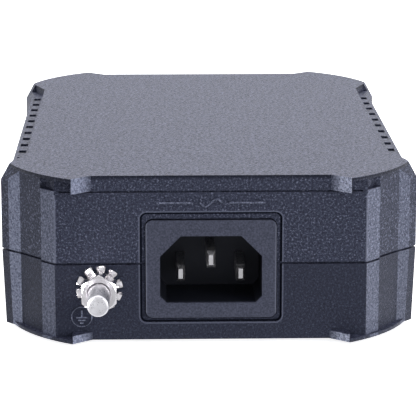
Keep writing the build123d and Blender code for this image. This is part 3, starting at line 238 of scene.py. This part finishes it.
# ================================================================ materials
class Nodes:
    """A node material under construction."""

    def __init__(self, name):
        self.material = bpy.data.materials.new(name)
        self.material.use_nodes = True
        self.tree = self.material.node_tree
        self.shader = self.tree.nodes["Principled BSDF"]
        self.place = self.add("ShaderNodeTexCoord").outputs["Object"]

    def add(self, kind, **settings):
        node = self.tree.nodes.new(kind)
        for key, value in settings.items():
            setattr(node, key, value)
        return node

    def link(self, source, target):
        self.tree.links.new(source, target)

    def drive(self, **sources):
        """Shader inputs fed by node outputs, given as Base_Color=..., Roughness=..."""
        for key, source in sources.items():
            self.link(source, self.shader.inputs[key.replace("_", " ")])

    def set(self, **values):
        """Constant shader inputs, given as Metallic=..., Specular_Tint=..."""
        for key, value in values.items():
            self.shader.inputs[key.replace("_", " ")].default_value = value

    def split(self, vector):
        """X, Y and Z of a vector."""
        node = self.add("ShaderNodeSeparateXYZ")
        self.link(vector, node.inputs["Vector"])
        return node.outputs

    def noise(self, scale, detail=2.0, roughness=0.5, stretch=None):
        node = self.add("ShaderNodeTexNoise")
        node.inputs["Scale"].default_value = scale
        node.inputs["Detail"].default_value = detail
        node.inputs["Roughness"].default_value = roughness
        if stretch:
            mapping = self.add("ShaderNodeMapping")
            mapping.inputs["Scale"].default_value = stretch
            self.link(self.place, mapping.inputs["Vector"])
            self.link(mapping.outputs["Vector"], node.inputs["Vector"])
        else:
            self.link(self.place, node.inputs["Vector"])
        return node.outputs["Fac"]

    def math(self, operation, first, second=0.0):
        """Two-value maths: each value is a number or a node's output."""
        node = self.add("ShaderNodeMath", operation=operation)
        for socket, value in zip(node.inputs, (first, second)):
            if isinstance(value, (int, float)):
                socket.default_value = value
            else:
                self.link(value, socket)
        return node.outputs["Value"]

    def product(self, first, *others):
        for other in others:
            first = self.math("MULTIPLY", first, other)
        return first

    def highest(self, first, *others):
        for other in others:
            first = self.math("MAXIMUM", first, other)
        return first

    def between(self, value, low, high):
        """1 where the value lies between two numbers, otherwise 0."""
        above = self.math("GREATER_THAN", value, low)
        below = self.math("LESS_THAN", value, high)
        return self.math("MULTIPLY", above, below)

    def patch(self, across, behind, spans):
        """1 on a patch given by its span across and its span behind the end face."""
        return self.product(self.between(across, *spans[0]), self.between(behind, *spans[1]))

    def outside(self, across, height, half_width, low, high):
        """Distance outside a rounded rectangle centred on X = 0, negative within it."""
        half_height, middle = (high - low) / 2, (high + low) / 2
        off = self.math("ABSOLUTE", self.math("SUBTRACT", height, middle))
        x = self.math("MAXIMUM", self.math("SUBTRACT", across, half_width - FRAME_CORNER), 0.0)
        z = self.math("MAXIMUM", self.math("SUBTRACT", off, half_height - FRAME_CORNER), 0.0)
        square = self.math("ADD", self.product(x, x), self.product(z, z))
        return self.math("SUBTRACT", self.math("SQRT", square), FRAME_CORNER)

    def ramp(self, source, low, high, start, end):
        """Source mapped from low..high to the span or colours start..end."""
        if isinstance(start, (int, float)):
            return map_range(self.tree, source, low, high, start, end).outputs["Result"]
        node = self.add("ShaderNodeValToRGB")
        for element, position, colour in zip(node.color_ramp.elements, (low, high), (start, end)):
            element.position = position
            element.color = (*colour, 1)
        self.link(source, node.inputs["Fac"])
        return node.outputs["Color"]

    def mix(self, factor, first, second):
        node = self.add("ShaderNodeMix", data_type="RGBA")
        self.link(factor, node.inputs["Factor"])
        for socket, value in zip((node.inputs[6], node.inputs[7]), (first, second)):
            if isinstance(value, tuple):
                socket.default_value = (*value, 1)
            else:
                self.link(value, socket)
        return node.outputs[2]

    def bump(self, height, distance, strength=1.0):
        node = self.add("ShaderNodeBump")
        node.inputs["Distance"].default_value = distance
        node.inputs["Strength"].default_value = strength
        self.link(height, node.inputs["Height"])
        self.link(node.outputs["Normal"], self.shader.inputs["Normal"])


def case_plastic(name):
    """Charcoal plastic with a coarse spark-eroded grain, rougher and paler on some facets, and with painted
    highlights, glints and shade.
    """
    m = Nodes(name)
    x, y, height = m.split(m.place)
    across = m.math("ABSOLUTE", x)
    behind = m.math("SUBTRACT", -FRONT, m.math("ABSOLUTE", y))
    facing_up = m.split(m.add("ShaderNodeTexCoord").outputs["Normal"])["Z"]
    upright = m.between(facing_up, -0.2, 0.2)
    level_face = m.ramp(facing_up, 0.7, 0.9, 0.0, 1.0)
    upper = m.ramp(height, SPLIT - 0.2 * MM, SPLIT, 0.0, 1.0)

    # Paler facets: the strip further round the corner has a rougher, paler finish, kept fainter on the
    # right as painted shade.
    # The narrow facet beside the end face, the short ramps of the ears and the tops of the two raised marks
    # are painted highlights.
    narrow = m.product(m.patch(across, behind, NARROW_FACET),
                       m.ramp(height, TOP - 3.7 * MM, TOP - 3.6 * MM, 0.5, 0.0))
    strip = m.product(m.patch(across, behind, CORNER_STRIP),
                      m.ramp(height, TOP - 1.1 * MM, TOP - 1.0 * MM, 1.0, 0.0),
                      m.ramp(x, *MIDDLE_FADE, 1.0, 0.4))
    ramps = m.product(m.patch(across, behind, EAR_RAMP), m.ramp(across, *EAR_RAMP_FADE, 0.0, 1.0))
    over_inlet = m.ramp(across, *INLET_MARK_REACH, 0.5, 0.0)
    at_terminal = m.product(m.between(height, *EARTH_MARK_LEVELS), 0.7)
    marks = m.product(m.between(behind, *MARK_TOPS), m.highest(over_inlet, at_terminal))
    pale_and_highlit = m.product(upright, m.highest(strip, ramps, narrow, marks))

    # Grain of the mould, with painted glints as brighter specks. The lower half is
    # smoother, and level faces have a broader grain.
    grain = m.noise(1 / (0.5 * MM), detail=4.0, roughness=0.85)
    painted_glints = m.ramp(m.noise(1 / (0.5 * MM), detail=3.0, roughness=0.8), 0.565, 0.68, 0.0, 1.0)
    smooth = m.ramp(grain, 0.40, 0.66, (0.003, 0.004, 0.012), (0.026, 0.031, 0.060))
    smooth = m.mix(m.product(painted_glints, 0.35), smooth, (0.14, 0.155, 0.22))
    rough = m.ramp(grain, 0.42, 0.66, (0.004, 0.006, 0.016), (0.060, 0.068, 0.118))
    rough = m.mix(painted_glints, rough, PAINTED_HIGHLIGHT)
    deck_grain = m.noise(1 / (0.7 * MM), detail=3.0, roughness=0.85)
    deck = m.ramp(deck_grain, 0.40, 0.62, (0.003, 0.004, 0.013), (0.077, 0.084, 0.142))
    plain = m.mix(level_face, m.mix(upper, smooth, rough), deck)

    # The step of the shallow recess round the inlet: painted shadow at its foot, painted highlight on its
    # rim.
    at_end = m.math("LESS_THAN", y, FRONT + 0.7 * MM)
    step = m.outside(across, height, RECESS_HALF_WIDTH, RECESS_LOW, RECESS_HIGH)
    recess_shadow = m.product(at_end, m.between(step, -0.5 * MM, -0.02 * MM))
    rim_highlight = m.product(at_end, m.between(step, 0.0, 0.32 * MM), 0.35)
    plain = m.mix(recess_shadow, m.mix(rim_highlight, plain, PAINTED_HIGHLIGHT), DEEP_SHADE)

    # Painted highlight along the vertical edge of the upper end face, and painted shade just under the
    # deck's edge.
    edge_highlight = m.product(m.between(across, *EDGE_HIGHLIGHT_SPAN), m.between(height, SPLIT, TOP - 4.5 * MM), upright, 0.45)
    under_lip = m.product(upright, m.ramp(height, *LIP_SHADE, 0.0, 1.0))
    plain = m.mix(edge_highlight, plain, EDGE_HIGHLIGHT_COLOUR)
    plain = m.mix(m.product(under_lip, 0.75), plain, DEEP_SHADE)

    coarse = m.ramp(grain, 0.40, 0.62, (0.065, 0.077, 0.125), (0.37, 0.40, 0.53))
    # Painted highlight: the ear ramps on the right side are made paler still.
    ramp_highlight = m.ramp(grain, 0.42, 0.60, (0.12, 0.135, 0.20), (0.70, 0.74, 0.92))
    coarse = m.mix(m.product(ramps, m.ramp(x, *MIDDLE_FADE, 0.0, 1.0)), coarse, ramp_highlight)

    glitter = m.product(level_face, m.ramp(deck_grain, 0.42, 0.60, -0.26, 0.30))
    shaded = m.highest(recess_shadow, m.product(under_lip, 0.6))
    m.drive(Base_Color=m.mix(pale_and_highlit, plain, coarse),
            Roughness=m.ramp(grain, 0.4, 0.62, 0.54, 0.40),
            Specular_IOR_Level=m.product(m.math("ADD", glitter, 0.5), m.ramp(shaded, 0.0, 1.0, 1.0, 0.2)))
    m.set(Specular_Tint=(0.76, 0.80, 1.0, 1))
    m.bump(grain, 0.2 * MM)
    return m.material


def inlet_plastic(name):
    """Finer charcoal plastic of the inlet, with a painted highlight on the bezel edge and painted shade in
    the plug cavity.
    """
    m = Nodes(name)
    x, y, height = m.split(m.place)
    inside = m.ramp(y, FRONT + 0.3 * MM, FRONT + 1.2 * MM, 0.0, 1.0)
    grain = m.noise(1 / (0.45 * MM), detail=3.0, roughness=0.7)
    face = m.ramp(grain, 0.36, 0.66, (0.030, 0.034, 0.055), (0.080, 0.086, 0.128))
    edge = m.outside(m.math("ABSOLUTE", x), height, BEZEL_HALF_WIDTH, inlet_low.z, inlet_high.z)
    # Painted highlight along the bezel's outer edge.
    face = m.mix(m.ramp(edge, -0.4 * MM, -0.1 * MM, 0.0, 0.4), face, BEZEL_HIGHLIGHT)
    m.drive(Base_Color=m.mix(inside, face, CAVITY_SHADE), Roughness=m.ramp(inside, 0.0, 1.0, 0.42, 0.5))
    m.set(Specular_Tint=(0.86, 0.89, 1.0, 1))
    m.bump(grain, 0.03 * MM, 0.7)
    return m.material


def shades(colour, spread):
    """The colour darkened and lightened by the given share."""
    return tuple(c * (1 - spread) for c in colour), tuple(min(1.0, c * (1 + spread)) for c in colour)


def jack_plastic(name):
    """Black moulded plastic with a fine grain."""
    m = Nodes(name)
    roughness = 0.45
    fine = m.noise(1 / (0.2 * MM), detail=3.0, roughness=0.65)
    broad = m.noise(60.0)
    m.drive(Base_Color=m.ramp(fine, 0.3, 0.7, *shades((0.012, 0.012, 0.014), 0.1)),
            Roughness=m.ramp(broad, 0.3, 0.7, roughness - 0.04, roughness + 0.04))
    m.bump(fine, 0.01 * MM)
    return m.material


def plated_metal(name, colour, roughness, streak=(1, 1, 1)):
    """Bright plated metal with faint turning marks."""
    m = Nodes(name)
    m.set(Metallic=1.0)
    marks = m.noise(3000.0, stretch=streak)
    stain = m.noise(400.0)
    dull = tuple(c * 0.82 for c in colour)
    m.drive(Base_Color=m.ramp(stain, 0.35, 0.7, dull, colour),
            Roughness=m.ramp(marks, 0.3, 0.7, roughness * 0.7, roughness * 1.4))
    m.bump(marks, 0.01 * MM, 0.6)
    return m.material


def simple_finish(name, colour, roughness, metallic):
    """General finish for small parts: slight mottling and a fine surface relief."""
    m = Nodes(name)
    m.set(Metallic=metallic)
    mottle = m.noise(1500.0)
    m.drive(Base_Color=m.ramp(mottle, 0.3, 0.7, *shades(colour, 0.12)),
            Roughness=m.ramp(mottle, 0.3, 0.7, roughness * 0.85, roughness * 1.15))
    m.bump(mottle, 0.01 * MM, 0.5)
    return m.material


FINISHES = {
    "case_plastic": case_plastic,
    "inlet_plastic": inlet_plastic,
    "jack_plastic": jack_plastic,
    "zinc_steel": lambda s: plated_metal(s, (0.98, 0.97, 1.0), 0.34),
    "bright_steel": lambda s: plated_metal(s, (0.98, 0.95, 0.97), 0.2),
    "nickel_brass": lambda s: plated_metal(s, (0.88, 0.87, 0.88), 0.35),
    "jack_shield_metal": lambda s: plated_metal(s, (0.75, 0.75, 0.76), 0.3),
    "aluminium": lambda s: plated_metal(s, (0.72, 0.73, 0.75), 0.4, (1, 1, 0.1)),
}
METAL_CLASSES = ("brass", "aluminium", "brushed_steel", "chrome")


def finish_for(slot, base_colour, kind):
    if slot in FINISHES:
        return FINISHES[slot](slot)
    roughness = 0.25 if "gloss" in kind else 0.55
    return simple_finish(slot, tuple(base_colour[:3]), roughness, 1.0 if kind in METAL_CLASSES else 0.0)


def soften_edges(node, width):
    weld = node.modifiers.new("weld", "WELD")
    weld.merge_threshold = 0.002 * MM
    bevel = node.modifiers.new("soft_edges", "BEVEL")
    bevel.width = width
    bevel.segments = 2
    bevel.limit_method = "ANGLE"
    bevel.angle_limit = math.radians(35)
    bevel.use_clamp_overlap = True
    bevel.harden_normals = False


def dress_cad_nodes():
    """Give every CAD node its slot's finish, and the moulded ones their softened edges."""
    made = {}
    for entry in frame["record"]["materials"]:
        made[entry["slot"]] = finish_for(entry["slot"], entry["base_color"], entry["class"])
    for entry in frame["record"]["subparts"]:
        node = frame["nodes"][entry["node"]]
        node.data.materials.clear()
        node.data.materials.append(made[entry["material_slot"]])
        if entry["node"] in SOFT_EDGES:
            soften_edges(node, SOFT_EDGES[entry["node"]] * MM)
    return made


# ================================================================ pieces
def add_piece(name, body, slot, vertices, faces, sharp_angle=None):
    """Piece riding on a body; smooth but for edges over sharp_angle, or flat if none is given."""
    mesh = bpy.data.meshes.new(name)
    mesh.from_pydata(vertices, [], faces)
    mesh.validate()
    mesh.update()
    mesh.materials.append(materials[slot])
    if sharp_angle:
        mesh.shade_smooth()
        mesh.set_sharp_from_angle(angle=math.radians(sharp_angle))
    piece = bpy.data.objects.new(name, mesh)
    bpy.context.scene.collection.objects.link(piece)
    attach(piece, body)
    return piece


def circle(steps):
    return [2 * math.pi * j / steps for j in range(steps)]


def ring_grid(rings, closed):
    """Vertices and quads through rings of equal length; closed joins the last to the first."""
    count = len(rings[0])
    vertices = [point for ring in rings for point in ring]
    faces = []
    spans = len(rings) if closed else len(rings) - 1
    for i in range(spans):
        here, after = i * count, (i + 1) % len(rings) * count
        for j in range(count):
            k = (j + 1) % count
            faces.append((here + j, here + k, after + k, after + j))
    if not closed:
        faces.append(tuple(reversed(range(count))))
        faces.append(tuple(range((len(rings) - 1) * count, len(rings) * count)))
    return vertices, faces


def merged(parts):
    """One set of vertices and faces from several."""
    vertices, faces = [], []
    for more, more_faces in parts:
        start = len(vertices)
        vertices += more
        faces += [tuple(start + k for k in face) for face in more_faces]
    return vertices, faces


def about_stud(ahead, radius, angle):
    """Point ahead of the end face, at a radius and angle about the stud's axis."""
    return (STUD_X + radius * math.cos(angle), FRONT - ahead, STUD_Z + radius * math.sin(angle))


def hexagon(flat, angle):
    """Reach of a hexagon at an angle, given the distance from its middle to its flats."""
    return flat / math.cos((angle + math.pi / 6) % (math.pi / 3) - math.pi / 6)


def thread_groove(ahead, angle):
    """0 on the thread's crest to 1 in its root; right-handed, seen from the tip."""
    phase = (ahead / THREAD_PITCH - angle / (2 * math.pi)) % 1.0
    slope = abs(2 * phase - 1)
    return min(1.0, max(0.0, (slope - 0.15) / 0.7))


def add_stud():
    """Earth stud: hexagonal head behind the wall, and a rolled thread out to a rounded tip."""
    angles = circle(60)
    tip = FRONT - stud_low.y
    back = FRONT - stud_high.y
    head_end = back + 3.4 * MM
    head_flat = 4.0 * MM
    head_chamfer = 0.35 * MM
    depth = 0.05 * MM
    rounding = 0.7 * MM
    run_in = 0.1 * MM

    rings = []
    for ahead, scale in ((back, 0.93), (back + head_chamfer, 1.0), (head_end, 1.0)):
        rings.append([about_stud(ahead, scale * hexagon(head_flat, a), a) for a in angles])
    rings.append([about_stud(head_end, STUD_RADIUS, a) for a in angles])
    threaded = tip - head_end - run_in
    count = math.ceil(threaded / THREAD_STEP)
    for i in range(count):
        ahead = head_end + run_in + threaded * i / count
        past = max(0.0, ahead - (tip - rounding)) / rounding
        limit = STUD_RADIUS - rounding * (1 - math.sqrt(1 - past * past))
        rings.append([about_stud(ahead, min(limit, STUD_RADIUS - depth * thread_groove(ahead, a)), a)
                      for a in angles])
    for radius in (STUD_RADIUS - rounding, 0.2 * MM):
        rings.append([about_stud(tip, radius, a) for a in angles])
    piece = add_piece("earth_stud_threaded", "case", "zinc_steel", *ring_grid(rings, closed=False),
                      sharp_angle=40)
    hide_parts("ground_stud")
    return piece


def add_nut():
    """Hexagon nut, chamfered on both faces, with a threaded bore."""
    angles = circle(72)
    back, front = FRONT - nut_high.y, FRONT - nut_low.y
    flat = (nut_high.x - nut_low.x) / 2
    bore = 2.56 * MM
    lead_in = 0.35 * MM
    depth = 0.2 * MM
    slant = 0.6

    def outer(ahead, angle):
        end_distance = min(ahead - back, front - ahead)
        return min(hexagon(flat, angle), flat * 0.97 + end_distance / slant)

    chamfer_levels = [0.06 * MM * i for i in range(14)]
    levels = [back + level for level in chamfer_levels] + [(back + front) / 2]
    levels += [front - level for level in reversed(chamfer_levels)]
    rings = [[about_stud(ahead, outer(ahead, a), a) for a in angles] for ahead in levels]
    rings.append([about_stud(front, bore + lead_in, a) for a in angles])
    bored = front - back - 2 * lead_in
    count = math.ceil(bored / THREAD_STEP)
    for i in range(count + 1):
        ahead = front - lead_in - bored * i / count
        rings.append([about_stud(ahead, bore + depth * thread_groove(ahead, a), a) for a in angles])
    rings.append([about_stud(back, bore + lead_in, a) for a in angles])
    piece = add_piece("hex_nut", "nut", "bright_steel", *ring_grid(rings, closed=True), sharp_angle=25)
    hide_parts("ground_nut")
    return piece


def washer_tooth(middle, twist):
    """One tooth: a neck that widens to a dished tip and is twisted about its own length."""
    # Distance from the axis, half width and half thickness of each section, in mm.
    sections = ((3.5, 0.75, 0.28), (3.9, 0.75, 0.28), (4.2, 0.85, 0.3), (4.5, 1.02, 0.34),
                (5.15, 1.05, 0.36), (5.38, 0.9, 0.26))
    # Section outline across and through the tooth, with a hollow along one side.
    outline = ((-1, -1), (-0.9, -1), (0.9, -1), (1, -1), (1, 1), (0.88, 1.15), (0.6, 0.5),
               (-0.6, 0.5), (-0.88, 1.15), (-1, 1))
    twist_start, twist_run = 3.7, 0.7
    centre = Vector((STUD_X, (washer_low.y + washer_high.y) / 2, STUD_Z))
    out = Vector((math.cos(middle), 0, math.sin(middle)))
    side = Vector((-math.sin(middle), 0, math.cos(middle)))
    ahead = Vector((0, -1, 0))
    rings = []
    for i, (reach, half_width, half_thick) in enumerate(sections):
        turn = twist * min(1.0, max(0.0, (reach - twist_start) / twist_run))
        across = side * math.cos(turn) + ahead * math.sin(turn)
        through = ahead * math.cos(turn) - side * math.sin(turn)
        ring = []
        for u, v in outline:
            level = v if i > 0 or abs(v) == 1 else 1.0      # the root section is plain
            point = centre + out * reach * MM
            point += across * (u * half_width * MM) + through * (level * half_thick * MM)
            ring.append(tuple(point))
        rings.append(ring)
    return ring_grid(rings, closed=False)


def add_washer():
    """External-tooth lock washer: a flat ring and ten twisted teeth."""
    angles = circle(80)
    centre = FRONT - (washer_low.y + washer_high.y) / 2
    bore, root = 2.62 * MM, 3.9 * MM
    half, ease = 0.32 * MM, 0.1 * MM
    teeth, first_tooth, twist = 10, 14, math.radians(30)
    section = ((bore, ease - half), (bore + ease, -half), (root - ease, -half), (root, ease - half),
               (root, half - ease), (root - ease, half), (bore + ease, half), (bore, half - ease))
    rings = [[about_stud(centre + ahead, radius, a) for a in angles] for radius, ahead in section]
    parts = [ring_grid(rings, closed=True)]
    parts += [washer_tooth(math.radians(first_tooth + 360 * i / teeth), twist) for i in range(teeth)]
    piece = add_piece("twisted_tooth_washer", "washer", "bright_steel", *merged(parts), sharp_angle=35)
    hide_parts("tooth_lock_washer")
    return piece


def raised_line(points, width, height):
    """Small ridge with sloping sides on the end face, along points given as X and Z."""
    places = [Vector((x, 0, z)) for x, z in points]
    last = len(places) - 1
    sides = []
    for i in range(last + 1):
        along = (places[min(i + 1, last)] - places[max(i - 1, 0)]).normalized()
        sides.append(Vector((-along.z, 0, along.x)))
    rings = []
    for ahead, spread in ((-0.02 * MM, 1.0), (height * 0.6, 0.9), (height, 0.65)):
        half = width / 2 * spread
        outline = [p - side * half for p, side in zip(places, sides)]
        outline += [p + side * half for p, side in zip(reversed(places), reversed(sides))]
        rings.append([(p.x, FRONT - ahead, p.z) for p in outline])
    return ring_grid(rings, closed=False)


def raised_ring(x, z, radius, width, height):
    """Small round ridge on the end face."""
    section = ((-1.0, -0.02 * MM), (-0.7, height * 0.7), (-0.3, height), (0.3, height),
               (0.7, height * 0.7), (1.0, -0.02 * MM))
    rings = []
    for spread, ahead in section:
        r = radius + spread * width / 2
        rings.append([(x + r * math.cos(a), FRONT - ahead, z + r * math.sin(a)) for a in circle(64)])
    return ring_grid(rings, closed=True)


def add_earth_symbol():
    """Raised protective-earth symbol beside the terminal: a ring round a bar and three strokes."""
    x, z = STUD_X - 4.2 * MM, BASE + 5.6 * MM
    line, height = 0.4 * MM, 0.24 * MM
    stroke_half_lengths, stroke_spacing = (1.3, 0.85, 0.4), 0.65
    parts = [raised_ring(x, z, 2.35 * MM, line, height)]
    parts.append(raised_line(((x, z + 1.5 * MM), (x, z - 0.2 * MM)), line, height))
    for row, half in enumerate(stroke_half_lengths):
        level = z - (0.2 + stroke_spacing * row) * MM
        parts.append(raised_line(((x - half * MM, level), (x + half * MM, level)), line, height))
    add_piece("earth_symbol", "case", "case_plastic", *merged(parts))


def add_input_symbol():
    """Raised alternating-current wave over the inlet, between two plain bars."""
    height, line = 0.35 * MM, 0.6 * MM
    level = inlet_high.z + 2.6 * MM
    half_wave, swing, steps = 2.6 * MM, 0.85 * MM, 24
    bar_start, bar_end = 4.2 * MM, 12.5 * MM
    wave = []
    for i in range(steps + 1):
        x = half_wave * (2 * i / steps - 1)
        wave.append((x, level + swing * math.sin(math.pi * x / half_wave)))
    strokes = [wave]
    for low, high in ((-bar_end, -bar_start), (bar_start, bar_end)):
        strokes.append([(low, level), (high, level)])
    parts = [raised_line(stroke, line, height) for stroke in strokes]
    add_piece("input_symbol", "case", "case_plastic", *merged(parts))


add_camera()
add_studio()
materials = dress_cad_nodes()
add_glint([add_stud(), add_nut(), add_washer()])
add_earth_symbol()
add_input_symbol()
